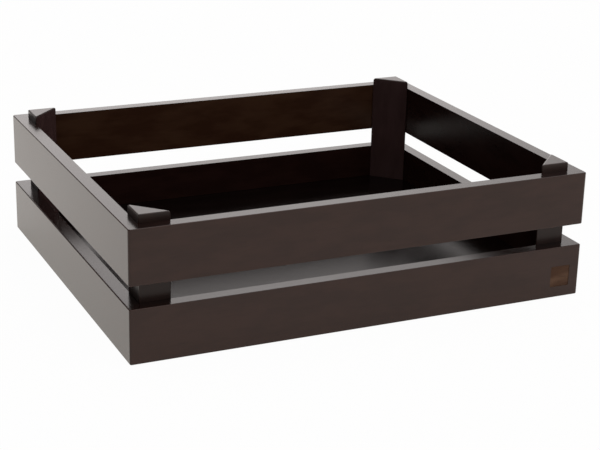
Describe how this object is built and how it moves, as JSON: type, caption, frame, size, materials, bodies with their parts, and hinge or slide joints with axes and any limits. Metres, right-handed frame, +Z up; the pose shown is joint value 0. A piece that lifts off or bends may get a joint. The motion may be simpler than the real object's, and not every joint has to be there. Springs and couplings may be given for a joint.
{
  "type": "wooden serving crate",
  "caption": "Low rectangular wooden serving crate: upper and lower tiers of mitred boards with an open gap between them, corner posts that stand proud for stacking, and a let-in floor panel.",
  "frame": {"origin": "centre of the base, in the plane of the lower boards' bottom edges", "axes": "+X along the long side, to the right seen from the front; +Y from the front to the back; +Z up"},
  "size_m": [0.35, 0.29, 0.101],
  "materials": {
    "lacquered_wood": "dark brown satin lacquer over close-grained wood, a little grain showing",
    "floor_lacquer": "dark brown gloss lacquer on a thin panel",
    "dowel_beech": "bare beech, hidden inside the joints"
  },
  "bodies": {
    "root": {"lower_front_board": "lacquered_wood", "lower_right_board": "lacquered_wood", "lower_back_board": "lacquered_wood", "lower_left_board": "lacquered_wood", "upper_front_board": "lacquered_wood", "upper_right_board": "lacquered_wood", "upper_back_board": "lacquered_wood", "upper_left_board": "lacquered_wood", "corner_post_front_left": "lacquered_wood", "corner_post_front_right": "lacquered_wood", "corner_post_back_right": "lacquered_wood", "corner_post_back_left": "lacquered_wood", "floor_panel": "floor_lacquer", "dowel_lower_front_1": "dowel_beech", "dowel_lower_front_2": "dowel_beech", "dowel_lower_right_1": "dowel_beech", "dowel_lower_right_2": "dowel_beech", "dowel_lower_back_1": "dowel_beech", "dowel_lower_back_2": "dowel_beech", "dowel_lower_left_1": "dowel_beech", "dowel_lower_left_2": "dowel_beech", "dowel_upper_front_1": "dowel_beech", "dowel_upper_front_2": "dowel_beech", "dowel_upper_right_1": "dowel_beech", "dowel_upper_right_2": "dowel_beech", "dowel_upper_back_1": "dowel_beech", "dowel_upper_back_2": "dowel_beech", "dowel_upper_left_1": "dowel_beech", "dowel_upper_left_2": "dowel_beech"}
  },
  "joints": []
}
